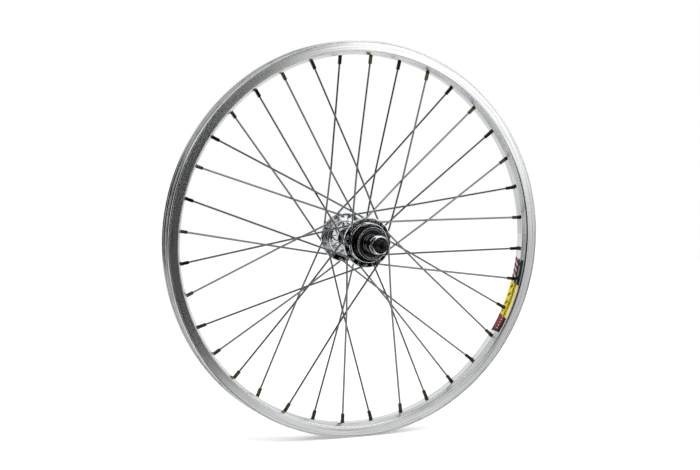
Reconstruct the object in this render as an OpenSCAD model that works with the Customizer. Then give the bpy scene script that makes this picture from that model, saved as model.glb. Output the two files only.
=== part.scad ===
// Rear bicycle wheel: box-section aluminium rim, 36 wire spokes laced three cross,
// and a chromed hub with a thread for a screw-on freewheel, on cup-and-cone ball bearings.
// The centre of the wheel is the origin, the axle lies along Y and the drive side faces -Y.
// Angles of the wheel are counted from +X towards +Z. Lengths along the axle are counted
// from the rim's middle plane, positive towards the drive side.

/* [Rim] */
// Radius of the rim over its lips
rim_r = 209; // [203:0.5:216]
// Width of the rim over its lips
rim_w = 24; // [22.5:0.25:27]
// Depth of the rim from its lips to the flat that the spokes enter
rim_depth = 14.3; // [13:0.1:18]
// Height of the brake face on each side of the rim
brake_face_h = 10.95; // [9.5:0.05:12]
// Width of the rim at the foot of its brake faces
foot_w = 22.8; // [21:0.1:23.4]
// Width of the flat that the spokes enter
bed_w = 10.8; // [9.5:0.1:13]
// Wall of the rim under the nipple heads
bed_wall = 1.7; // [1.2:0.1:2]
// Wall of the rim's sides
side_wall = 1.5; // [1.2:0.05:1.8]
// Wall between the rim's hollow and the tyre channel
bridge_wall = 1.4; // [1:0.1:1.6]
// Depth of the seat for the tyre's bead below the lips
seat_depth = 6; // [5.2:0.1:6.4]
// Depth of the middle well below the bead seats
well_depth = 2; // [1.2:0.1:2.2]
// Width of the middle well
well_w = 9.6; // [8:0.1:11]
// Height of the bead of metal along each lip
lip_h = 1.5; // [1.2:0.1:1.8]
// Depth of the fine groove under each lip
groove_d = 0.4; // [0.2:0.05:0.6]
// How far each lip hooks inwards over the tyre's bead
hook = 0.6; // [0.2:0.1:1]
// Diameter of the valve hole
valve_d = 8.5; // [6.5:0.1:8.8]
// Diameter of the holes in the bridge through which the nipples go in
access_d = 8.4; // [7.5:0.1:9]
// Angle of the first nipple around the rim
first_nipple_angle = 15.2; // [10:0.1:20]

/* [Spokes and nipples] */
// Diameter of the spoke wire
wire_d = 2; // [1.8:0.05:2.2]
// Spokes of its own flange that each spoke crosses on its way to the rim
crosses = 3; // [2:1:3]
// Distance between the middles of two spokes where they are interlaced
interlace = 2.15; // [2.1:0.05:2.6]
// Bend radius of the spoke's elbow
elbow_r = 2.2; // [1.8:0.1:2.6]
// Bend radius where two spokes press on each other
cross_bend_r = 12; // [8:1:20]
// Diameter of the spoke's head
head_d = 3.8; // [3.2:0.1:4.2]
// Thickness of the spoke's head
head_t = 1.2; // [0.9:0.1:1.5]
// How far each nipple is set off the rim's middle towards its own flange
stagger = 0.8; // [0:0.1:1.2]
// Diameter of the nipple's shank
nipple_d = 4; // [3.8:0.1:4.2]
// Distance across the nipple's wrench flats
nipple_flats = 3.3; // [3.1:0.05:3.5]
// Length of the nipple below its head
nipple_len = 11.2; // [10:0.1:14]
// Diameter of the nipple's head
nipple_head_d = 6; // [5.6:0.1:6.2]
// Height of the nipple's head
nipple_head_t = 2.8; // [2.2:0.1:3]

/* [Hub shell] */
// Distance from the rim's middle to the middle of the drive side flange
drive_flange_at = 29; // [27.5:0.1:30]
// Distance from the rim's middle to the middle of the left flange
left_flange_at = 35; // [33.5:0.1:36]
// Thickness of the flanges
flange_t = 3.2; // [2.8:0.1:3.6]
// Radius of the flanges
flange_r = 26.4; // [26:0.1:28]
// Distance from the flanges' edge to the middle of the spoke holes
hole_edge = 3.1; // [2.9:0.1:3.4]
// Diameter of the spoke holes
spoke_hole_d = 2.6; // [2.5:0.05:2.9]
// Gap between the spokes' heads and the shoulder that the freewheel seats on
shoulder_gap = 0.7; // [0.5:0.1:1.5]
// Distance from the rim's middle to the freewheel's seat
freewheel_seat_at = 35.3; // [34.5:0.1:36.5]
// Radius of the freewheel thread
thread_r = 17.45; // [17:0.05:17.8]
// Distance from the rim's middle to the drive side end of the shell
drive_end_at = 44; // [43:0.1:46]
// Distance from the rim's middle to the left end of the shell
left_end_at = 42; // [41.5:0.1:43.5]
// Wall of the freewheel boss around the drive side cup
boss_wall = 2.45; // [2.2:0.05:2.8]
// Wall of the shell around the left cup, outside the flange
collar_wall = 3; // [2:0.1:4]
// Wall of the shell beside the flanges
barrel_wall = 2; // [1.6:0.1:3]
// Radius of the shell at its waist
waist_r = 13.2; // [12:0.1:14.5]
// Radius of the bore between the bearings
shell_bore_r = 9.5; // [8:0.1:10]

/* [Bearings and axle] */
// Diameter of the bearing balls
ball_d = 6.35; // [6.2:0.05:6.4]
// Radius of the circle that the balls run on
ball_circle_r = 10.28; // [10.2:0.02:10.4]
// Number of balls in each bearing
balls = 9; // [8:1:9]
// Distance from the shell's end to the plane of the balls
ball_depth = 9.5; // [8.5:0.1:10]
// Distance over the locknuts
over_locknuts = 130; // [127:0.5:135]
// Length of the axle
axle_len = 147; // [143:0.5:152]
// Diameter of the axle's thread
axle_d = 12; // [11.6:0.1:12.2]
// How much thinner the bare ends of the axle are
axle_end_relief = 0.4; // [0.35:0.05:0.6]
// Distance across the flats of the locknuts
locknut_af = 17; // [16.6:0.1:19]
// Thickness of the locknuts
locknut_t = 6; // [5:0.1:6.5]
// Radius of the washers
washer_r = 10; // [9.6:0.1:10.6]
// Thickness of the washers
washer_t = 1.6; // [1.2:0.1:2]
// Outside radius of the spacers
spacer_r = 8.6; // [8:0.1:9]

/* [Sticker] */
// Where the sticker starts around the rim, in degrees
sticker_from = 327; // [326:0.5:329]
// Angle that the sticker covers, in degrees
sticker_span = 24.8; // [24:0.1:27]
// Bare strip beside the sticker on each edge of the flat
sticker_margin = 0.4; // [0.2:0.1:1]
// Thickness of the sticker
sticker_t = 0.2; // [0.15:0.05:0.3]

/* [Fits] */
// Gap of pieces that seat on each other at a curved face
seat_gap = 0.05; // [0.02:0.01:0.08]
// Radial gap of the balls in their races
race_gap = 0.05; // [0.02:0.01:0.08]
// Gap between the turning dust caps and the cones
seal_gap = 0.3; // [0.2:0.05:0.4]

/* [Hidden] */
$fn = 64;
spoke_count = 36;
rim_fn = 180;
wire_r = wire_d / 2;
spoke_pitch = 360 / spoke_count;
valve_after = 15;
lace_angle = 2 * crosses * spoke_pitch;

// How far a cutting shape reaches past what it cuts
over = 1;

function spoke_name(k) = str("spoke_", k < 9 ? "0" : "", k + 1);

// Rim section, as radius and distance from the rim's middle plane
bed_r = rim_r - rim_depth;
foot_r = rim_r - brake_face_h;
seat_r = rim_r - seat_depth;
well_r = seat_r - well_depth;
well_slope = 1.2;
well_wall_out = 0.5;
lip_round = 0.7;
lip_t = side_wall;
lip_lean = 0.1;
inner_side = rim_w / 2 - side_wall - lip_lean;
foot_round = 0.8;
bead_fillet = 0.8;

// Slanted stretch between the bed and a brake face
slant = [foot_r - bed_r, (foot_w - bed_w) / 2];
slant_in = side_wall * [slant.y, -slant.x] / norm(slant);

// Hollow of the rim
hollow_w = foot_w - 2 * side_wall;
hollow_r = bed_r + bed_wall;
hollow_corner_r = foot_r + slant_in.x
    - (foot_w / 2 + slant_in.y - hollow_w / 2) * slant.x / slant.y;
hollow_bed_w = bed_w + 2 * slant_in.y + 2 * (bed_wall - slant_in.x) * slant.y / slant.x;

function side_at(r) = foot_w / 2 + (rim_w - foot_w) / 2 * (r - foot_r) / (rim_r - foot_r);
function mirrored(points) =
    concat(points, [for (i = [len(points) - 1:-1:0]) [points[i].x, -points[i].y]]);
function arc(centre, r, from, to, steps = 4) =
    [for (i = [0:steps]) centre + r * [cos(from + (to - from) * i / steps),
                                       sin(from + (to - from) * i / steps)]];

// Hub shell
hole_circle_r = flange_r - hole_edge;
shoulder_r = hole_circle_r - head_d / 2 - shoulder_gap;
cup_r = thread_r - boss_wall;
left_collar_r = cup_r + collar_wall;
barrel_r = cup_r + barrel_wall;
thread_chamfer = 0.8;
thread_undercut = 0.8;
undercut_w = 1;
undercut_slope_w = 0.6;
shoulder_chamfer = 0.4;
shoulder_cove = 0.9;
cove_h = 1.4;
cove_foot = 0.4;
cove_toe = 0.2;
root_out = 2;
root_h = 2.5;
barrel_flat = 1;
taper_h = 12;
collar_round = 1;

// Lacing. Even spokes go to the left flange and odd ones to the drive side flange.
// A pulling spoke leaves its flange on the outside, a pushing one on the inside.
function on_drive_side(k) = k % 2 == 1;
function is_outer(k) = k % 4 == 0 || k % 4 == 3;
function nipple_at(k) = first_nipple_angle + k * spoke_pitch;
valve_at = nipple_at(valve_after) + spoke_pitch / 2;
function hub_hole_at(k) = nipple_at(k) + (is_outer(k) ? lace_angle : -lace_angle);
function flange_at(k) = on_drive_side(k) ? drive_flange_at : left_flange_at;

// The spoke seen along the axle: its run from the hub hole to the nipple's seat
hub_point = hole_circle_r * [cos(lace_angle), sin(lace_angle)];
run_vector = [hollow_r, 0] - hub_point;
run = norm(run_vector);
run_bearing = atan2(run_vector.y, run_vector.x);
last_cross = hole_circle_r * sin(lace_angle - spoke_pitch)
    / (hole_circle_r * sin(lace_angle - spoke_pitch) + hollow_r * sin(spoke_pitch));
cross_run = run * last_cross;

// Where an outer spoke passes over its flange's edge, and how high its elbow is for that
hub_bearing = lace_angle - run_bearing;
edge_run = sqrt(flange_r ^ 2 - (hole_circle_r * sin(hub_bearing)) ^ 2)
    - hole_circle_r * cos(hub_bearing);
edge_gap = 0.15;
edge_round = 0.6;
function fall(k) = ((flange_at(k) - stagger) * last_cross + interlace / 2 + flange_t / 2
    + wire_r + edge_gap) / cross_run;
function elbow_lift(k) = flange_t / 2 + wire_r + edge_gap
    + fall(k) * (edge_run - elbow_r) - elbow_r;

// The same spoke in the plane of its run: x along the run, y along the neck of the spoke,
// which starts in the middle of the flange
function side_sign(k) = is_outer(k) ? -1 : 1;
function nipple_point(k) = [run, side_sign(k) * (flange_at(k) - stagger)];
function cross_point(k) =
    [cross_run, nipple_point(k).y * last_cross - interlace / 2];
function elbow_centre(k) = [elbow_r, elbow_lift(k)];
function from_elbow(k) = cross_point(k) - elbow_centre(k);
function first_slope(k) =
    atan2(from_elbow(k).y, from_elbow(k).x) - asin(elbow_r / norm(from_elbow(k)));
function second_part(k) = nipple_point(k) - cross_point(k);
function second_slope(k) = atan2(second_part(k).y, second_part(k).x);
function cross_turn(k) = second_slope(k) - first_slope(k);
function cross_tangent(k) = cross_bend_r * tan(cross_turn(k) / 2);

// The wire swells a hair where it is bent, and each straight length ends inside its bend
swell = 0.01;
lap = 0.05;

// Nipple, counted along its axis from its seat in the rim
nipple_bore_gap = 0.1;
nipple_bore_r = wire_r + nipple_bore_gap;
nipple_chamfer = 0.3;
nipple_seat_slope = [0.6, 0.8];
nipple_dome = [0.3, 1];
sticker_nipple_gap = 0.5;
nipple_round_len = 4;
nipple_clear = 0.25;
slot_w = 1.2;
slot_d = 1;
thread_end = nipple_head_t - slot_d;

// Bearings, counted from the shell's end, positive outwards
ball_r = ball_d / 2;
race_r = ball_r + race_gap;
cup_floor = 1.4;
cup_bottom = -ball_depth - race_r - cup_floor;
cup_mouth = -1;
cup_lip_wall = 1.2;
cup_mouth_r = cup_r - cup_lip_wall;
cup_lip_above_balls = 0.6;
cup_hole_r = 8.9;
cap_t = 1;
cap_top = -2.2;
cap_rim_h = 2;
cap_round = 0.4;
cage_t = 0.8;
cage_above_balls = 1.6;
cage_pocket_gap = 0.1;
cage_past_balls = 0.7;
cage_gap = 0.2;
cage_inner_r = ball_circle_r + cage_past_balls;
cage_outer_r = cup_mouth_r - cage_gap;
cone_nose_r = ball_circle_r - race_r - race_gap;
cone_nose_h = 2.4;
cone_nose = -ball_depth - cone_nose_h;
cone_inside_balls = 0.4;
cone_r = ball_circle_r - cone_inside_balls;
cone_nose_chamfer = 0.3;
cone_step = 0.5;
cone_chamfer = 0.4;
cone_flat_len = 4.5;
cone_flats = 15;
cone_end = 3;
axle_r = axle_d / 2;
axle_gap_r = axle_r + seat_gap;
axle_end_r = axle_r - axle_end_relief / 2;
axle_middle_relief = 0.6;
axle_middle_r = axle_r - axle_middle_relief;
axle_middle_taper = 1;
axle_thread_past_cone = 6;
axle_chamfer = 0.8;
locknut_out = over_locknuts / 2;
locknut_in = locknut_out - locknut_t;
washer_in = locknut_in - washer_t;
nut_chamfer = 0.9;
nut_past_corners = 0.4;
washer_chamfer = 0.3;
spacer_chamfer = 0.4;

// Turns a shape built along Z so that its Z axis points to the drive side
module to_axle() {
    rotate([90, 0, 0]) children();
}

// The two bearings face opposite ways. Each is built from its own end of the shell.
module bearing_place(drive) {
    to_axle() mirror([0, 0, drive ? 0 : 1])
        translate([0, 0, drive ? drive_end_at : left_end_at]) children();
}

module axle_place(drive) {
    to_axle() mirror([0, 0, drive ? 0 : 1]) children();
}

module rim_outline() {
    groove_r = rim_r - lip_h;
    polygon(mirrored(concat(
        [[bed_r, bed_w / 2]],
        [[foot_r, foot_w / 2] - slant / norm(slant) * foot_round],
        [[foot_r + foot_round, side_at(foot_r + foot_round)]],
        [[groove_r - groove_d, side_at(groove_r - groove_d)]],
        [[groove_r - groove_d / 2, side_at(groove_r) - groove_d]],
        [[groove_r, side_at(groove_r)]],
        arc([rim_r - lip_round, rim_w / 2 - lip_round], lip_round, 90, 0),
        [[rim_r, rim_w / 2 - lip_t]],
        [[rim_r - lip_h / 2, rim_w / 2 - lip_t - hook]],
        [[rim_r - lip_h, rim_w / 2 - lip_t - hook]],
        [[rim_r - 2 * lip_h, inner_side]],
        [[seat_r + bead_fillet, inner_side]],
        [[seat_r, inner_side - bead_fillet]],
        [[seat_r, well_w / 2 + well_slope]],
        [[well_r, well_w / 2]])));
}

module rim_hollow_outline() {
    polygon(mirrored([
        [hollow_r, hollow_bed_w / 2],
        [hollow_corner_r, hollow_w / 2],
        [seat_r - bridge_wall, hollow_w / 2],
        [seat_r - bridge_wall, well_w / 2 + well_slope + well_wall_out],
        [well_r - bridge_wall, well_w / 2 + well_wall_out]]));
}

// Puts a shape built along Z on the axis of one nipple, with the nipple's seat at z = 0
// and the hub below
module on_nipple(k) {
    to_axle() mirror([0, 0, on_drive_side(k) ? 0 : 1])
        rotate([0, 0, nipple_at(k)]) translate([hollow_r, 0, stagger])
            rotate([0, 0, (is_outer(k) ? 1 : -1) * run_bearing])
                rotate([0, 90 + abs(second_slope(k)), 0]) children();
}

// Drilled in line with the spoke: the hole in the bed, the seat of the nipple's head
// and the wider hole in the bridge
module nipple_hole() {
    shank_r = nipple_d / 2 + nipple_clear;
    seat_hole_r = nipple_head_d / 2 + nipple_clear;
    rotate_extrude() polygon([
        [0, -2 * bed_wall],
        [shank_r, -2 * bed_wall],
        [shank_r, 0],
        [seat_hole_r, 0],
        [seat_hole_r, nipple_head_t],
        [access_d / 2, nipple_head_t],
        [access_d / 2, rim_depth],
        [0, rim_depth]]);
}

module rim() {
    color("silver")
    difference() {
        to_axle() rotate_extrude($fn = rim_fn) difference() {
            rim_outline();
            rim_hollow_outline();
        }
        for (k = [0:spoke_count - 1]) on_nipple(k) nipple_hole();
        to_axle() rotate([0, 0, valve_at]) translate([bed_r - over, 0, 0])
            rotate([0, 90, 0]) cylinder(h = rim_depth, r = valve_d / 2);
    }
}

module rim_sticker() {
    outside_r = bed_r - seat_gap;
    color("gold")
    difference() {
        to_axle() rotate([0, 0, sticker_from])
            rotate_extrude(angle = sticker_span, $fn = rim_fn)
                translate([outside_r - sticker_t, sticker_margin - bed_w / 2])
                    square([sticker_t, bed_w - 2 * sticker_margin]);
        for (k = [0:spoke_count - 1]) on_nipple(k)
            translate([0, 0, -3 * bed_wall]) cylinder(h = 3 * bed_wall, r = nipple_d / 2 + sticker_nipple_gap);
    }
}

module nipple() {
    head_r = nipple_head_d / 2;
    shank_r = nipple_d / 2;
    difference() {
        rotate_extrude() polygon([
            [nipple_bore_r, -nipple_len],
            [shank_r - nipple_chamfer, -nipple_len],
            [shank_r, -nipple_len + nipple_chamfer],
            [shank_r, seat_gap],
            [head_r - nipple_seat_slope.x, seat_gap],
            [head_r, seat_gap + nipple_seat_slope.y],
            [head_r - nipple_dome.x, nipple_head_t * 0.7],
            [head_r - nipple_dome.y, nipple_head_t],
            [nipple_bore_r, nipple_head_t]]);
        for (turn = [0:90:270]) rotate([0, 0, turn])
            translate([nipple_flats / 2, -shank_r, -nipple_len - over])
                cube([shank_r, nipple_d, nipple_len - nipple_round_len + over]);
        translate([-head_r, -slot_w / 2, nipple_head_t - slot_d])
            cube([nipple_head_d, slot_w, slot_d + over]);
    }
}

module nipples() {
    color("darkkhaki") for (k = [0:spoke_count - 1]) on_nipple(k) nipple();
}

// A straight length of wire along Z, and what follows it. Its ends reach into the bends.
module straight(length) {
    translate([0, 0, -lap]) cylinder(h = length + 2 * lap, r = wire_r);
    translate([0, 0, length]) children();
}

// A bend of the wire from Z towards X, and what follows it
module bend(radius, angle) {
    translate([radius, 0, 0]) rotate([90, 0, 180])
        rotate_extrude(angle = angle) translate([radius, 0]) circle(r = wire_r + swell);
    translate([radius, 0, 0]) rotate([0, angle, 0]) translate([-radius, 0, 0]) children();
}

module spoke_head_and_neck(neck) {
    head_r = head_d / 2;
    rotate_extrude() polygon([
        [0, -head_t],
        [head_r * 0.55, -head_t],
        [head_r * 0.9, -head_t * 0.6],
        [head_r, -head_t * 0.25],
        [head_r, 0],
        [wire_r, 0],
        [wire_r, neck + lap],
        [0, neck + lap]]);
}

module spoke_wire(k) {
    neck_from = flange_t / 2 + seat_gap;
    first_len = sqrt(from_elbow(k) * from_elbow(k) - elbow_r ^ 2) - cross_tangent(k);
    second_len = norm(second_part(k)) - cross_tangent(k) + thread_end;
    translate([0, 0, -neck_from]) spoke_head_and_neck(neck_from + elbow_lift(k));
    translate([0, 0, elbow_lift(k)])
        bend(elbow_r, 90 - first_slope(k))
            straight(first_len)
                rotate([0, 0, 180]) bend(cross_bend_r, cross_turn(k))
                    straight(second_len);
}

module spoke(k) {
    color("gainsboro")
    to_axle() mirror([0, 0, on_drive_side(k) ? 0 : 1])
        rotate([0, 0, hub_hole_at(k)])
            translate([hole_circle_r, 0, flange_at(k)])
                mirror([0, 0, is_outer(k) ? 0 : 1])
                    rotate([0, 0, (is_outer(k) ? -1 : 1) * hub_bearing])
                        spoke_wire(k);
}

// Outline of the shell from its drive side end to its left end
module hub_outline() {
    drive_out = drive_flange_at + flange_t / 2;
    drive_in = drive_flange_at - flange_t / 2;
    left_out = -left_flange_at - flange_t / 2;
    left_in = -left_flange_at + flange_t / 2;
    root_r = barrel_r + root_out;
    undercut_r = thread_r - thread_undercut;
    undercut_end = freewheel_seat_at + undercut_w;
    cove_r = shoulder_r - shoulder_cove;
    polygon(concat(
        [[thread_r - thread_chamfer, drive_end_at], [thread_r, drive_end_at - thread_chamfer]],
        [[thread_r, undercut_end + undercut_slope_w], [undercut_r, undercut_end]],
        [[undercut_r, freewheel_seat_at]],
        [[shoulder_r - shoulder_chamfer, freewheel_seat_at]],
        [[shoulder_r, freewheel_seat_at - shoulder_chamfer]],
        [[shoulder_r, drive_out + cove_h], [cove_r, drive_out + cove_foot]],
        [[cove_r + cove_toe, drive_out]],
        [[flange_r - edge_round, drive_out], [flange_r, drive_out - edge_round]],
        [[flange_r, drive_in + edge_round], [flange_r - edge_round, drive_in]],
        [[root_r, drive_in]],
        arc([root_r, drive_in - root_h], root_r - barrel_r, 90, 180),
        [[barrel_r, drive_in - root_h - barrel_flat], [waist_r, drive_in - root_h - taper_h]],
        [[waist_r, left_in + root_h + taper_h], [barrel_r, left_in + root_h + barrel_flat]],
        arc([root_r, left_in + root_h], root_r - barrel_r, 180, 270),
        [[root_r, left_in]],
        [[flange_r - edge_round, left_in], [flange_r, left_in - edge_round]],
        [[flange_r, left_out + edge_round], [flange_r - edge_round, left_out]],
        [[left_collar_r + collar_round, left_out], [left_collar_r, left_out - collar_round]],
        [[left_collar_r, -left_end_at + collar_round], [left_collar_r - collar_round, -left_end_at]],
        [[cup_r, -left_end_at], [cup_r, -left_end_at - cup_bottom]],
        [[shell_bore_r, -left_end_at - cup_bottom]],
        [[shell_bore_r, drive_end_at + cup_bottom]],
        [[cup_r, drive_end_at + cup_bottom], [cup_r, drive_end_at]]));
}

module flange_holes(drive) {
    flange = drive ? drive_flange_at : left_flange_at;
    first = hub_hole_at(drive ? 1 : 0);
    axle_place(drive) for (i = [0:spoke_count / 2 - 1])
        rotate([0, 0, first + i * 2 * spoke_pitch])
            translate([hole_circle_r, 0, flange - flange_t])
                cylinder(h = 2 * flange_t, r = spoke_hole_d / 2);
}

module hub_shell() {
    color("lightgray")
    difference() {
        to_axle() rotate_extrude() hub_outline();
        flange_holes(true);
        flange_holes(false);
    }
}

module cup(drive) {
    outside_r = cup_r - seat_gap;
    color("dimgray")
    bearing_place(drive) rotate_extrude() difference() {
        translate([cup_hole_r, cup_bottom])
            square([outside_r - cup_hole_r, cup_mouth - cup_bottom]);
        translate([cup_hole_r - over, cup_lip_above_balls - ball_depth])
            square([cup_mouth_r - cup_hole_r + over, ball_depth]);
        translate([cup_hole_r - over, -ball_depth])
            square([ball_circle_r - cup_hole_r + over, ball_depth]);
        translate([ball_circle_r, -ball_depth]) circle(r = race_r);
    }
}

module cone(drive) {
    top = cone_end;
    flats_from = top - cone_flat_len;
    color("dimgray")
    bearing_place(drive) difference() {
        rotate_extrude() difference() {
            polygon([
                [axle_gap_r, cone_nose],
                [cone_nose_r - cone_nose_chamfer, cone_nose],
                [cone_nose_r, cone_nose + cone_nose_chamfer],
                [cone_nose_r, -ball_depth],
                [cone_r, -ball_depth],
                [cone_r, flats_from - cone_step],
                [cone_r - cone_step, flats_from],
                [cone_r - cone_step, top - cone_chamfer],
                [cone_r - cone_step - cone_chamfer, top],
                [axle_gap_r, top]]);
            translate([ball_circle_r, -ball_depth]) circle(r = race_r);
        }
        for (side = [-1, 1]) translate([-cup_r, side * (cone_flats / 2 + cup_r / 2), 0])
            translate([0, -cup_r / 2, flats_from]) cube([2 * cup_r, cup_r, cone_flat_len + over]);
    }
}

module dust_cap(drive) {
    outside_r = cup_mouth_r - seat_gap;
    color("black")
    bearing_place(drive) rotate_extrude() polygon([
        [cone_r + seal_gap, cap_top - cap_t],
        [outside_r - cap_t, cap_top - cap_t],
        [outside_r - cap_t, cap_top - cap_rim_h],
        [outside_r, cap_top - cap_rim_h],
        [outside_r, cap_top - cap_round],
        [outside_r - cap_round, cap_top],
        [cone_r + seal_gap, cap_top]]);
}

module ball_set(drive) {
    color("silver")
    bearing_place(drive) for (i = [0:balls - 1]) rotate([0, 0, i * 360 / balls])
        translate([ball_circle_r, 0, -ball_depth]) sphere(r = ball_r);
}

module ball_cage(drive) {
    color("goldenrod")
    bearing_place(drive) difference() {
        translate([0, 0, cage_above_balls - ball_depth]) difference() {
            cylinder(h = cage_t, r = cage_outer_r);
            translate([0, 0, -over]) cylinder(h = cage_t + 2 * over, r = cage_inner_r);
        }
        for (i = [0:balls - 1]) rotate([0, 0, i * 360 / balls])
            translate([ball_circle_r, 0, -ball_depth]) sphere(r = ball_r + cage_pocket_gap);
    }
}

module axle() {
    half = axle_len / 2;
    thread_from = drive_end_at + cone_nose - axle_thread_past_cone;
    color("black")
    to_axle() rotate_extrude() polygon([
        [0, -half],
        [axle_end_r - axle_chamfer, -half],
        [axle_end_r, -half + axle_chamfer],
        [axle_end_r, -locknut_out],
        [axle_r, -locknut_out],
        [axle_r, -thread_from],
        [axle_middle_r, axle_middle_taper - thread_from],
        [axle_middle_r, thread_from - axle_middle_taper],
        [axle_r, thread_from],
        [axle_r, locknut_out],
        [axle_end_r, locknut_out],
        [axle_end_r, half - axle_chamfer],
        [axle_end_r - axle_chamfer, half],
        [0, half]]);
}

module spacer(drive) {
    from = (drive ? drive_end_at : left_end_at) + cone_end;
    color("black")
    axle_place(drive) rotate_extrude() polygon([
        [axle_gap_r, from],
        [spacer_r - spacer_chamfer, from],
        [spacer_r, from + spacer_chamfer],
        [spacer_r, washer_in - spacer_chamfer],
        [spacer_r - spacer_chamfer, washer_in],
        [axle_gap_r, washer_in]]);
}

module washer(drive) {
    color("silver")
    axle_place(drive) rotate_extrude() polygon([
        [axle_gap_r, washer_in],
        [washer_r - washer_chamfer, washer_in],
        [washer_r, washer_in + washer_chamfer],
        [washer_r, locknut_in - washer_chamfer],
        [washer_r - washer_chamfer, locknut_in],
        [axle_gap_r, locknut_in]]);
}

module locknut(drive) {
    corner_r = locknut_af / 2 / cos(30);
    outside_r = corner_r + nut_past_corners;
    color("silver")
    axle_place(drive) difference() {
        translate([0, 0, locknut_in]) intersection() {
            cylinder(h = locknut_t, r = corner_r, $fn = 6);
            rotate_extrude() polygon([
                [0, 0],
                [outside_r - nut_chamfer, 0],
                [outside_r, nut_chamfer / 2],
                [outside_r, locknut_t - nut_chamfer],
                [outside_r - 2 * nut_chamfer, locknut_t],
                [0, locknut_t]]);
        }
        translate([0, 0, locknut_in - over]) cylinder(h = locknut_t + 2 * over, r = axle_gap_r);
    }
}

rim();
rim_sticker();
nipples();
for (k = [0:spoke_count - 1])
    spoke(k);
hub_shell();
cup(true);  // drive_cup
cup(false);  // left_cup
dust_cap(true);  // drive_dust_cap
dust_cap(false);  // left_dust_cap
ball_set(true);  // drive_balls
ball_set(false);  // left_balls
ball_cage(true);  // drive_ball_cage
ball_cage(false);  // left_ball_cage
axle();
cone(true);  // drive_cone
cone(false);  // left_cone
spacer(true);  // drive_spacer
spacer(false);  // left_spacer
washer(true);  // drive_washer
washer(false);  // left_washer
locknut(true);  // drive_locknut
locknut(false);  // left_locknut
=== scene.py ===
"""A rear bicycle wheel without tyre or freewheel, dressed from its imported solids: satin aluminium
rim with a vinyl sticker, laced wire spokes in brass nipples, and a chromed hub on a black axle."""

import math

import bmesh
import bpy
from mathutils import Matrix, Vector


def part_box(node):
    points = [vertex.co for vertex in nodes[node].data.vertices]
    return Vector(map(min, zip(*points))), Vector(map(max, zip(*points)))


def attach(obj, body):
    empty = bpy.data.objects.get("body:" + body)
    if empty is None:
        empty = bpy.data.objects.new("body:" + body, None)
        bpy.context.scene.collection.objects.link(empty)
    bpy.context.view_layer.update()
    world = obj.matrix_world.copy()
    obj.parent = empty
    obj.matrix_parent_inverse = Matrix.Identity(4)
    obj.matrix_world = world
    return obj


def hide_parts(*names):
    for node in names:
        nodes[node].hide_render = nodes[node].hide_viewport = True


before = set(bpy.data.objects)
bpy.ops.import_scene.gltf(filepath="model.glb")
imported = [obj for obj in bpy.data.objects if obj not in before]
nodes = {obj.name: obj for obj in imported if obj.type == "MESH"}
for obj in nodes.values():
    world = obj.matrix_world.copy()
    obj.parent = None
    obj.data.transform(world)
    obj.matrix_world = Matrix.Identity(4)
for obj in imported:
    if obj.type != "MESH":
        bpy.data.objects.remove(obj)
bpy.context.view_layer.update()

# Rim
# A hoop of box-section aluminium, extruded through a die, rolled and pinned at one seam. It was
# left satin as drawn, so fine lines run round it, with dull clouds from use.

MM = 0.001
RIM_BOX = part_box("rim")
RIM_RADIUS = RIM_BOX[1].z
RIM_ALLOY = "E4E5E6"
RIM_ALLOY_DULL = "D2D3D3"
# This grey darkens the drawn lines, and also paints shade as a ring in the shoulder's corner.
SCORE_AND_SHADE_GREY = "5A5B5C"
FOOT_RADIUS = 198.3 * MM
SHADE_LINE_HALF = 0.2 * MM
LINE_PITCH = 1.5 * MM
CLOUD_PITCH = 12 * MM
BRUSHED = 0.6


def colour(code):
    """Linear colour of an sRGB hex value."""
    parts = [int(code[i:i + 2], 16) / 255 for i in (0, 2, 4)]
    return (*[p / 12.92 if p <= 0.04045 else ((p + 0.055) / 1.055) ** 2.4 for p in parts], 1.0)


def new_material(name, code, metallic, roughness):
    """A node material with the plain settings of its Principled shader."""
    material = bpy.data.materials.new(name)
    material.use_nodes = True
    shader = material.node_tree.nodes["Principled BSDF"]
    shader.inputs["Base Color"].default_value = colour(code)
    shader.inputs["Metallic"].default_value = metallic
    shader.inputs["Roughness"].default_value = roughness
    return material, shader


def feed(owner, value, socket):
    """Links a socket to an input, or sets the input to a value."""
    if isinstance(value, bpy.types.NodeSocket):
        owner.node_tree.links.new(value, socket)
    else:
        socket.default_value = value


def add(owner, kind, inputs=(), out=0, **settings):
    """A node with its settings, and its inputs fed in order or by name or place. Gives one of its
    outputs."""
    made = owner.node_tree.nodes.new("ShaderNode" + kind)
    for name, value in settings.items():
        setattr(made, name, value)
    for key, value in inputs.items() if isinstance(inputs, dict) else enumerate(inputs):
        feed(owner, value, made.inputs[key])
    return made.outputs[out]


def round_axle(owner, place):
    """Radius, distance along the axle to the drive side, and angle round it, for a place."""
    x, y, z = add(owner, "SeparateXYZ", [place]).node.outputs
    across = add(owner, "VectorMath", [place, (1, 0, 1)], operation="MULTIPLY")
    radius = add(owner, "VectorMath", [across], operation="LENGTH", out="Value")
    a = add(owner, "Math", [y, -1.0], operation="MULTIPLY")
    return radius, a, add(owner, "Math", [z, x], operation="ARCTAN2")


def drawn_lines(owner, place, across, along):
    """Noise stretched round the axle: its lumps are across by along metres."""
    radius, a, angle = round_axle(owner, place)
    turned_by = add(owner, "Math", [angle, RIM_RADIUS * across / along], operation="MULTIPLY")
    unrolled = add(owner, "CombineXYZ", [radius, a, turned_by])
    return add(owner, "TexNoise", {"Vector": unrolled, "Scale": 1 / across})


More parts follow.
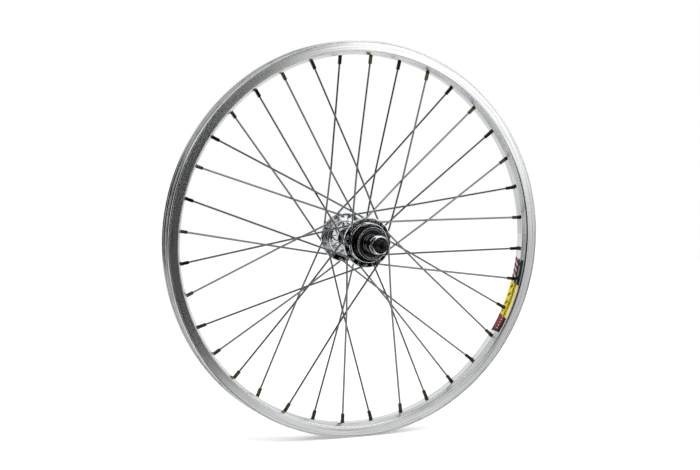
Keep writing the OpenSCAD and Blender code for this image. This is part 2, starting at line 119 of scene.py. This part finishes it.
def satin_aluminium():
    """Die-drawn aluminium. Its lines run round the rim, so highlights stretch across them; they are
    drawn 1.5 mm apart, coarser than the real ones, so that they show. A thin dark ring of painted
    shade, in the same grey as the lines, lies in the corner between the shoulder and the brake face."""
    material, shader = new_material("satin_aluminium", RIM_ALLOY, 1.0, 0.4)
    place = add(material, "TexCoord", out="Object")
    lines = drawn_lines(material, place, across=LINE_PITCH, along=90 * MM)
    clouds = drawn_lines(material, place, across=CLOUD_PITCH, along=50 * MM)
    tone = add(material, "Mix", {0: clouds, 6: colour(RIM_ALLOY_DULL), 7: colour(RIM_ALLOY)}, out=2,
               data_type="RGBA")
    scored = add(material, "MapRange", [lines, 0.5, 0.7, 0.0, 0.4])
    tone = add(material, "Mix", {0: scored, 6: tone, 7: colour(SCORE_AND_SHADE_GREY)}, out=2, data_type="RGBA")
    radius = round_axle(material, place)[0]
    # Painted shade: a dark ring at the foot radius stands in for the shade in the corner between
    # shoulder and brake face.
    corner_shade = add(material, "Math", [radius, FOOT_RADIUS, SHADE_LINE_HALF], operation="COMPARE")
    tone = add(material, "Mix", {0: corner_shade, 6: tone, 7: colour(SCORE_AND_SHADE_GREY)}, out=2,
               data_type="RGBA")
    feed(material, tone, shader.inputs["Base Color"])
    feed(material, add(material, "MapRange", [lines, 0.3, 0.7, 0.18, 0.24]), shader.inputs["Roughness"])
    shader.inputs["Anisotropic"].default_value = BRUSHED
    shader.inputs["Anisotropic Rotation"].default_value = 0.25
    feed(material, add(material, "Tangent", direction_type="RADIAL", axis="Y"),
         shader.inputs["Tangent"])
    return material


def finish_nodes(material, *names):
    """Gives CAD nodes their finish."""
    for name in names:
        nodes[name].data.materials.clear()
        nodes[name].data.materials.append(material)


finish_nodes(satin_aluminium(), "rim")

# Sticker
# Printed vinyl stuck over the spoke bed and the near shoulder, with notches round two nipples. Its
# fields of dark red, yellow and black meet at a slant and carry plain bars, and no letters.

STICKER_RED = "7A1622"
STICKER_YELLOW = "FFE812"
STICKER_BLACK = "08080A"
STICKER_GOLD = "8A7410"
STICKER_CREAM = "F6EBC4"
STICKER_PINK = "EBBFC6"
STICKER_GREY = "8E9698"
STICKER_FROM = 327.0
STICKER_TO = 352.3
STICKER_TOP_SLANT = 0.9
STICKER_STEPS = 60
FAR_EDGE = -5.0
NEAR_EDGE = 9.6
FILM_T = 0.2
FILM_TOP = 0.25
BED_R = 194.7
BED_EDGE = 5.4
SHOULDER_SLOPE = math.radians(29.2)
NOTCH_R = 3.1
NOTCH_REACH = 9.0
NOTCHES = ((335.2, -0.8), (345.2, 0.8))
YELLOW_FROM = -26.6
BLACK_FROM = -15.4
FIELD_SLANT = 1.4


def make_object(name, mesh, material, body=None, replaced=(), sharp=35):
    """An object from a bmesh in millimetres, smooth but for its sharp edges, that rides on a body
    and may stand for CAD nodes."""
    bmesh.ops.remove_doubles(mesh, verts=mesh.verts, dist=0.0005)
    bmesh.ops.scale(mesh, verts=mesh.verts, vec=(MM, MM, MM))
    bmesh.ops.recalc_face_normals(mesh, faces=mesh.faces)
    for face in mesh.faces:
        face.smooth = True
    for edge in mesh.edges:
        edge.smooth = edge.calc_face_angle(0.0) < math.radians(sharp)
    data = bpy.data.meshes.new(name)
    mesh.to_mesh(data)
    mesh.free()
    data.materials.append(material)
    made = bpy.data.objects.new(name, data)
    bpy.context.scene.collection.objects.link(made)
    if body:
        made.modifiers.new("flat faces", "WEIGHTED_NORMAL").keep_sharp = True
        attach(made, body)
    if replaced:
        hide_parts(*replaced)
    return made


def spin(mesh, outline, steps, closed=True, rise=0.0):
    """Turns an outline of radius and length along the axle one full turn round it."""
    row = [mesh.verts.new((r, -a, 0)) for r, a in outline]
    pairs = zip(row, row[1:] + row[:1]) if closed else zip(row, row[1:])
    edges = [mesh.edges.new(pair) for pair in pairs]
    bmesh.ops.spin(mesh, geom=row + edges, cent=(0, 0, 0), axis=(0, 1, 0), dvec=(0, rise / steps, 0),
                   angle=2 * math.pi, steps=steps, use_merge=closed)


def loose_object(mesh):
    """An object from a bmesh, kept only for a cut."""
    bmesh.ops.remove_doubles(mesh, verts=mesh.verts, dist=0.0005)
    bmesh.ops.recalc_face_normals(mesh, faces=mesh.faces)
    data = bpy.data.meshes.new("passing")
    mesh.to_mesh(data)
    mesh.free()
    made = bpy.data.objects.new("passing", data)
    bpy.context.scene.collection.objects.link(made)
    return made


def cut(mesh, tool):
    """The first bmesh less the second."""
    body, taken = loose_object(mesh), loose_object(tool)
    away = body.modifiers.new("cut", "BOOLEAN")
    away.operation, away.solver, away.object = "DIFFERENCE", "EXACT", taken
    left = bmesh.new()
    left.from_mesh(body.evaluated_get(bpy.context.evaluated_depsgraph_get()).to_mesh())
    for done in (body, taken):
        bpy.data.meshes.remove(done.data)
    return left


def rods(places, side):
    """A turned rod at each place. Its side lists radius and height along its own axis, and a place
    gives its angle round the axle, and its distances from the axle and along it."""
    mesh = bmesh.new()
    for turn, radius, a, lie in places:
        before = set(mesh.verts)
        spin(mesh, side, 32)
        put = Matrix.Rotation(-math.radians(turn), 4, "Y") @ Matrix.Translation((radius, -a, 0))
        put = put @ Matrix.Rotation(math.radians(lie), 4, "Z")
        bmesh.ops.transform(mesh, matrix=put, verts=list(set(mesh.verts) - before))
    return mesh


def sticker_sheet():
    """A bent strip over the bed and most of the near shoulder, notched round two nipples, with a
    slanted top edge."""
    rise = (NEAR_EDGE - BED_EDGE) * math.tan(SHOULDER_SLOPE)
    faces = []
    for lift in (FILM_TOP, FILM_TOP - FILM_T):
        low = BED_R - lift
        faces.append([(low, FAR_EDGE), (low, BED_EDGE), (low + rise, NEAR_EDGE)])
    mesh = bmesh.new()
    row = [mesh.verts.new((r, -a, 0)) for r, a in faces[0] + faces[1][::-1]]
    section = mesh.faces.new(row)
    bmesh.ops.rotate(mesh, verts=row, cent=(0, 0, 0),
                     matrix=Matrix.Rotation(-math.radians(STICKER_FROM), 3, "Y"))
    bmesh.ops.spin(mesh, geom=[section], cent=(0, 0, 0), axis=(0, -1, 0), steps=STICKER_STEPS,
                   use_merge=False, angle=math.radians(STICKER_TO - STICKER_FROM))
    far, near = [Matrix.Rotation(-math.radians(turn), 3, "Y") @ Vector((BED_R, -a, 0))
                 for turn, a in ((STICKER_TO, FAR_EDGE), (STICKER_TO - STICKER_TOP_SLANT, NEAR_EDGE))]
    past = (near - far).cross(far)
    past = past if past.z > 0 else -past
    trimmed = bmesh.ops.bisect_plane(mesh, geom=mesh.verts[:] + mesh.edges[:] + mesh.faces[:],
                                     plane_co=far, plane_no=past, clear_outer=True)
    rim = [edge for edge in trimmed["geom_cut"] if isinstance(edge, bmesh.types.BMEdge)]
    bmesh.ops.holes_fill(mesh, edges=rim)
    side = [(0, -NOTCH_REACH), (NOTCH_R, -NOTCH_REACH), (NOTCH_R, NOTCH_REACH), (0, NOTCH_REACH)]
    return cut(mesh, rods([(turn, BED_R, a, 90) for turn, a in NOTCHES], side))


def bars(owner, angle, across, pitch, slant, share, low, high):
    """A mask of slanted bars: one each pitch degrees, over a share of it, between two heights
    across."""
    leaned = add(owner, "Math", [across, slant, angle], operation="MULTIPLY_ADD")
    phase = add(owner, "Math", [add(owner, "Math", [leaned, pitch], operation="DIVIDE")],
                operation="FRACT")
    bar = add(owner, "Math", [phase, share], operation="LESS_THAN")
    above = add(owner, "Math", [across, low], operation="GREATER_THAN")
    below = add(owner, "Math", [across, high], operation="LESS_THAN")
    return add(owner, "Math", [bar, add(owner, "Math", [above, below], operation="MULTIPLY")],
               operation="MULTIPLY")


def printed_vinyl():
    """Ink on glossy film: three fields with bars and borders. Every edge is sharp."""
    material, shader = new_material("printed_vinyl", STICKER_YELLOW, 0.0, 0.3)
    shader.inputs["Specular IOR Level"].default_value = 0.3
    place = add(material, "TexCoord", out="Object")
    a, turn = round_axle(material, place)[1:]
    angle = add(material, "Math", [turn], operation="DEGREES")
    across = add(material, "MapRange", [a, FAR_EDGE * MM, NEAR_EDGE * MM])
    slanted = add(material, "Math", [across, FIELD_SLANT, angle], operation="MULTIPLY_ADD")
    blots = add(material, "TexNoise", {"Vector": place, "Scale": 700.0})
    broken = add(material, "Math", [blots, 0.42], operation="GREATER_THAN")
    gold_band = bars(material, angle, across, 60.0, 0.0, 1.0, 0.6, 0.84)
    yellow = [
        (bars(material, angle, across, 2.7, -3.0, 0.34, 0.2, 0.5), STICKER_BLACK),
        (add(material, "Math", [gold_band, broken], operation="MULTIPLY"), STICKER_GOLD),
        (add(material, "Math", [across, 0.93], operation="GREATER_THAN"), STICKER_CREAM)]
    red = [
        (bars(material, angle, across, 1.0, 0.0, 0.45, 0.6, 0.72), STICKER_PINK),
        (add(material, "Math", [across, 0.82], operation="GREATER_THAN"), STICKER_BLACK),
        (add(material, "Math", [angle, STICKER_FROM - 359.1], operation="LESS_THAN"), STICKER_BLACK)]
    black = [
        (bars(material, angle, across, 1.9, 3.4, 0.62, -1.0, 0.5), STICKER_PINK),
        (bars(material, angle, across, 1.9, 3.4, 0.2, -1.0, 0.56), STICKER_RED),
        (bars(material, angle, across, 4.6, 0.0, 0.75, 0.74, 0.8), STICKER_GREY)]
    fields = []
    for ground, inks in ((STICKER_RED, red), (STICKER_YELLOW, yellow), (STICKER_BLACK, black)):
        tone = colour(ground)
        for mask, ink in inks:
            tone = add(material, "Mix", {0: mask, 6: tone, 7: colour(ink)}, out=2, data_type="RGBA")
        fields.append(tone)
    tone = fields[0]
    for start, field in ((YELLOW_FROM, fields[1]), (BLACK_FROM, fields[2])):
        reached = add(material, "Math", [slanted, start], operation="GREATER_THAN")
        tone = add(material, "Mix", {0: reached, 6: tone, 7: field}, out=2, data_type="RGBA")
    feed(material, tone, shader.inputs["Base Color"])
    return material


make_object("bent_sticker", sticker_sheet(), printed_vinyl(), "wheel", ["rim_sticker"])

# Nipples
# Turned brass, nickelled once and now worn to a dark olive, with wrench flats and a slot.

NIPPLE_OLIVE = "2A2820"
NIPPLE_BRASS = "5E5438"


def worn_brass():
    """Tarnished nickel on brass, with the brass showing through in small patches."""
    material, shader = new_material("worn_brass", NIPPLE_OLIVE, 1.0, 0.24)
    patches = add(material, "TexNoise", {"Vector": add(material, "TexCoord", out="Object"),
                                         "Scale": 900.0})
    worn = add(material, "MapRange", [patches, 0.35, 0.75])
    tone = add(material, "Mix", {0: worn, 6: colour(NIPPLE_OLIVE), 7: colour(NIPPLE_BRASS)}, out=2,
               data_type="RGBA")
    feed(material, tone, shader.inputs["Base Color"])
    return material


finish_nodes(worn_brass(), "nipples", "drive_ball_cage", "left_ball_cage")

# Spokes
# Two-millimetre stainless wire, cold drawn, with a forged head and a bent elbow.

SPOKE_STEEL = "76787A"


def drawn_wire():
    """Bright drawn stainless, dulled a little by handling."""
    material, shader = new_material("drawn_wire", SPOKE_STEEL, 1.0, 0.2)
    dull = add(material, "TexNoise", {"Vector": add(material, "TexCoord", out="Object"),
                                      "Scale": 160.0})
    feed(material, add(material, "MapRange", [dull, 0.35, 0.65, 0.1, 0.2]),
         shader.inputs["Roughness"])
    return material


finish_nodes(drawn_wire(), *[name for name in nodes if name.startswith("spoke_")])

# Hub shell
# Steel, turned in one piece with its two flanges, the shoulder and the freewheel boss, then
# drilled for the spokes, polished and chromed. Lengths count along the axle from the rim's middle
# to the drive side, in millimetres.

CHROME = "DADCDE"
THREAD_GREASE = "0E0D0C"
THREAD_BROWN = "2A231A"
TURN_STEPS = 160
BOSS_END = 44.0
LEFT_END = -42.0
THREAD_R = 17.45
THREAD_PITCH = 25.4 / 24
THREAD_DEPTH = 0.6
HOLE_CIRCLE_R = 23.3
HOLE_R = 1.3
FLANGE_HALF = 1.6
HOLES_A_SIDE = 18
FLANGES = ((29.0, -34.8), (-35.0, 75.2))
CAVITY = [(15.0, LEFT_END, 0.25), (15.0, -27.875), (9.5, -27.875), (9.5, 29.875), (15.0, 29.875)]


def bright_chrome():
    """Polished chrome plate with a faint haze, so that black and white meet sharply in it."""
    material, shader = new_material("bright_chrome", CHROME, 1.0, 0.06)
    haze = add(material, "TexNoise", {"Vector": add(material, "TexCoord", out="Object"),
                                      "Scale": 90.0})
    feed(material, add(material, "MapRange", [haze, 0.3, 0.7, 0.04, 0.1]), shader.inputs["Roughness"])
    return material


def rounded(corners, segments=4):
    """An outline's points, with an arc at each corner that states a radius."""
    out = []
    for i, corner in enumerate(corners):
        here = Vector(corner[:2])
        radius = corner[2] if len(corner) > 2 else 0
        if not radius:
            out.append(here)
            continue
        before = (Vector(corners[i - 1][:2]) - here).normalized()
        after = (Vector(corners[(i + 1) % len(corners)][:2]) - here).normalized()
        half = before.angle(after) / 2
        centre = here + (before + after).normalized() * radius / math.sin(half)
        start = here + before * radius / math.tan(half) - centre
        end = here + after * radius / math.tan(half) - centre
        out += [centre + start.slerp(end, step / segments) * radius for step in range(segments + 1)]
    return out


def thread(mesh, radius, depth, pitch, low, high, steps):
    """A right-hand thread from low to high, chamfered at both ends down to its core."""
    core = radius - depth
    outline, a = [], low - pitch
    while a < high + pitch:
        outline += [(core, a), (radius, a + 0.42 * pitch), (radius, a + 0.58 * pitch)]
        a += pitch
    before = set(mesh.verts)
    spin(mesh, outline, steps, closed=False, rise=pitch)
    for vert in set(mesh.verts) - before:
        a = min(max(-vert.co.y, low), high)
        r = math.hypot(vert.co.x, vert.co.z)
        scale = min(r, core + min(a - low, high - a)) / r
        vert.co = (vert.co.x * scale, -a, vert.co.z * scale)


def hub_shell(material, thread_material):
    """The shell's rounded outline, its drilled flanges and its thread. A corner lists its radius,
    its length and its own rounding. The spoke holes are countersunk on both faces of each flange."""
    core = THREAD_R - THREAD_DEPTH
    outline = rounded([
        (15.0, BOSS_END, 0.25), (core, BOSS_END, 0.25), (core, 35.3), (20.7, 35.3, 0.5),
        (20.7, 31.9, 0.6), (19.8, 31.1, 0.4), (20.0, 30.6), (26.4, 30.6, 0.8), (26.4, 27.4, 0.8),
        (17.0, 27.4, 2.4), (17.0, 23.9, 5.0), (13.2, 12.9, 9.0), (13.2, -18.9, 9.0),
        (17.0, -29.9, 5.0), (17.0, -33.4, 2.4), (26.4, -33.4, 0.8), (26.4, -36.6, 0.8),
        (18.0, -36.6, 1.0), (18.0, LEFT_END, 0.8), *CAVITY])
    mesh = bmesh.new()
    spin(mesh, outline, TURN_STEPS)
    step = 360 / HOLES_A_SIDE
    holes = [(first + step * i, HOLE_CIRCLE_R, a, 0) for a, first in FLANGES
             for i in range(HOLES_A_SIDE)]
    mouth, throat = (HOLE_R + 0.35, FLANGE_HALF), (HOLE_R, FLANGE_HALF - 0.35)
    upper = [throat, mouth, (HOLE_R + 1.0, 4), (0, 4)]
    side = [(r, -a) for r, a in upper[::-1]] + upper
    make_object("chromed_shell", cut(mesh, rods(holes, side)), material, "wheel", ["hub_shell"])
    mesh = bmesh.new()
    thread(mesh, THREAD_R, THREAD_DEPTH, THREAD_PITCH, 36.3, 43.7, TURN_STEPS)
    make_object("freewheel_thread", mesh, thread_material, "wheel", sharp=80)


def greased_steel():
    """The bare thread: steel under old grease, nearly black, with a brown cast."""
    material, shader = new_material("greased_steel", THREAD_GREASE, 1.0, 0.24)
    smear = add(material, "TexNoise", {"Vector": add(material, "TexCoord", out="Object"),
                                       "Scale": 260.0})
    share = add(material, "MapRange", [smear, 0.45, 0.7])
    tone = add(material, "Mix", {0: share, 6: colour(THREAD_GREASE), 7: colour(THREAD_BROWN)}, out=2,
               data_type="RGBA")
    feed(material, tone, shader.inputs["Base Color"])
    return material


chrome = bright_chrome()
hub_shell(chrome, greased_steel())
finish_nodes(chrome, "drive_washer", "left_washer", "drive_locknut", "left_locknut")

# Bearings
# Cups, cones and balls of hardened steel. Only the cones' outer ends and the pressed caps show.

RACE_STEEL = "77787B"
CAP_BLACK = "0A0A0B"


def ground_steel():
    """Ground and oiled steel, with fine rings from the wheel."""
    material, shader = new_material("ground_steel", RACE_STEEL, 1.0, 0.24)
    rings = drawn_lines(material, add(material, "TexCoord", out="Object"), across=0.3 * MM,
                        along=200 * MM)
    feed(material, add(material, "MapRange", [rings, 0.3, 0.7, 0.18, 0.32]),
         shader.inputs["Roughness"])
    return material


def black_nylon():
    """Moulded black nylon, filmed unevenly with old grease."""
    material, shader = new_material("black_nylon", CAP_BLACK, 0.0, 0.3)
    shader.inputs["Specular IOR Level"].default_value = 0.35
    film = add(material, "TexNoise", {"Vector": add(material, "TexCoord", out="Object"),
                                      "Scale": 200.0})
    feed(material, add(material, "MapRange", [film, 0.4, 0.65, 0.2, 0.4]), shader.inputs["Roughness"])
    return material


finish_nodes(ground_steel(), "drive_cup", "left_cup", "drive_cone", "left_cone", "drive_balls",
             "left_balls")
finish_nodes(black_nylon(), "drive_dust_cap", "left_dust_cap")

# Axle
# Cold rolled steel with a black oxide finish, threaded towards both ends and chamfered.

BLACK_OXIDE = "0C0C0D"
RUBBED_OXIDE = "1E1E20"
AXLE_R = 5.8
AXLE_HALF = 73.5
AXLE_PITCH = 1.0
AXLE_THREAD_DEPTH = 0.6
BARE_FROM = 60.0


def black_oxide():
    """Oiled black oxide: nearly black, with a soft grey sheen where it is rubbed."""
    material, shader = new_material("black_oxide", BLACK_OXIDE, 0.6, 0.28)
    rubs = add(material, "TexNoise", {"Vector": add(material, "TexCoord", out="Object"),
                                      "Scale": 500.0})
    share = add(material, "MapRange", [rubs, 0.45, 0.7])
    tone = add(material, "Mix", {0: share, 6: colour(BLACK_OXIDE), 7: colour(RUBBED_OXIDE)}, out=2,
               data_type="RGBA")
    feed(material, tone, shader.inputs["Base Color"])
    return material


def threaded_axle(material):
    """A bar at the thread's core, with a chamfered thread on each bare end."""
    core = AXLE_R - AXLE_THREAD_DEPTH
    end = AXLE_HALF - AXLE_THREAD_DEPTH
    half = [(5.4, 23), (5.95, 24), (5.95, BARE_FROM), (core, BARE_FROM), (core, end),
            (core - AXLE_THREAD_DEPTH, AXLE_HALF), (0, AXLE_HALF)]
    mesh = bmesh.new()
    spin(mesh, [(r, -a) for r, a in half[::-1]] + half, 64)
    for low, high in ((-AXLE_HALF + 0.2, -BARE_FROM - 1), (BARE_FROM + 1, AXLE_HALF - 0.2)):
        thread(mesh, AXLE_R, AXLE_THREAD_DEPTH, AXLE_PITCH, low, high, 64)
    make_object("threaded_axle", mesh, material, "axle_set", ["axle"], sharp=80)


oxide = black_oxide()
threaded_axle(oxide)
finish_nodes(oxide, "drive_spacer", "left_spacer")

# Studio
# A white sweep: pale floor, and white surroundings that are dark low down in front, where the
# metal mirrors them. Soft boxes light it from above, and a window and a card stand at the right,
# out of view, to be mirrored in the rim.

FLOOR_WHITE = "F4F4F4"
FLOOR_SIZE = 2.6
FLOOR_FRONT = 0.5
CAMERA_PLACE = (-0.6566, -1.5754, 0.1671)
CAMERA_TURN = 22.40
CAMERA_TILT = 5.42
CAMERA_LENS = 83.55
ROOM_DARK = "060606"
FLOOR_GLOW = 0.35
DARK_TURN = math.radians(-25)
DARK_FROM = math.radians(75)
DARK_TO = math.radians(65)
DARK_TOP = math.radians(32)
DARK_SOFT = math.radians(8)


def floor():
    """Matt white paper that looks evenly white to the camera, apart from the wheel's shadow."""
    mesh = bmesh.new()
    bmesh.ops.create_grid(mesh, x_segments=1, y_segments=1, size=FLOOR_SIZE / 2 / MM)
    bmesh.ops.translate(mesh, verts=mesh.verts,
                        vec=(0, (FLOOR_SIZE / 2 - FLOOR_FRONT) / MM, RIM_BOX[0].z / MM))
    material, shader = new_material("white_paper", FLOOR_WHITE, 0.0, 0.9)
    shader.inputs["Specular IOR Level"].default_value = 0.0
    shader.inputs["Emission Color"].default_value = (1, 1, 1, 1)
    seen = add(material, "LightPath", out="Is Camera Ray")
    feed(material, add(material, "Math", [seen, FLOOR_GLOW], operation="MULTIPLY"),
         shader.inputs["Emission Strength"])
    make_object("floor", mesh, material)


def surroundings():
    """White all round, but dark low down in front, where the camera sees plain white."""
    world = bpy.data.worlds.new("studio")
    bpy.context.scene.world = world
    world.use_nodes = True
    back = world.node_tree.nodes["Background"]
    toward = add(world, "TexCoord", out="Generated")
    front = (math.sin(DARK_TURN), -math.cos(DARK_TURN), 0)
    facing = add(world, "VectorMath", [toward, front], operation="DOT_PRODUCT", out="Value")
    within = add(world, "MapRange", [facing, math.cos(DARK_FROM), math.cos(DARK_TO)])
    tilt = add(world, "Math", [add(world, "SeparateXYZ", [toward], out=2)], operation="ARCSINE")
    level = add(world, "MapRange", [tilt, DARK_TOP - DARK_SOFT, DARK_TOP, 1.0, 0.0])
    camera_ray = add(world, "LightPath", out="Is Camera Ray")
    unseen = add(world, "Math", [1.0, camera_ray], operation="SUBTRACT")
    dark = add(world, "Math", [within, level], operation="MULTIPLY")
    dark = add(world, "Math", [dark, unseen], operation="MULTIPLY")
    feed(world, add(world, "Mix", {0: dark, 6: (1, 1, 1, 1), 7: colour(ROOM_DARK)}, out=2,
                    data_type="RGBA"), back.inputs["Color"])
    glossy_ray = add(world, "LightPath", out="Is Glossy Ray")
    seen = add(world, "Math", [camera_ray, glossy_ray], operation="MAXIMUM")
    feed(world, add(world, "MapRange", [seen, 0.0, 1.0, 0.8, 1.0]), back.inputs["Strength"])


def lamp(name, place, target, width, power, mirrored=False):
    """A square soft box that shines from a place towards a target. Metal mirrors it only if asked."""
    data = bpy.data.lights.new(name, "AREA")
    data.size, data.energy = width, power
    made = bpy.data.objects.new(name, data)
    made.location = place
    made.visible_glossy = mirrored
    made.rotation_euler = (Vector(target) - Vector(place)).to_track_quat("-Z", "Y").to_euler()
    bpy.context.scene.collection.objects.link(made)


floor()
surroundings()
lamp("soft_box_left", (-0.8, -0.6, 1.5), (0, 0, -0.1), 0.9, 9)
lamp("soft_box_right", (1.4, -1.2, 1.3), (0, 0, 0), 1.8, 15)
lamp("window", (0.86, -1.0, 0.46), (0.86, 0, 0.46), 1.0, 5.5, mirrored=True)
lamp("white_card", (0.78, -1.0, -0.3), (0.78, 0, -0.3), 0.5, 0.7, mirrored=True)

camera = bpy.data.objects.new("camera", bpy.data.cameras.new("camera"))
camera.data.lens = CAMERA_LENS
camera.location = CAMERA_PLACE
camera.rotation_euler = (math.radians(90 - CAMERA_TILT), 0, -math.radians(CAMERA_TURN))
bpy.context.scene.collection.objects.link(camera)
bpy.context.scene.camera = camera
bpy.context.scene.view_settings.view_transform = "Standard"
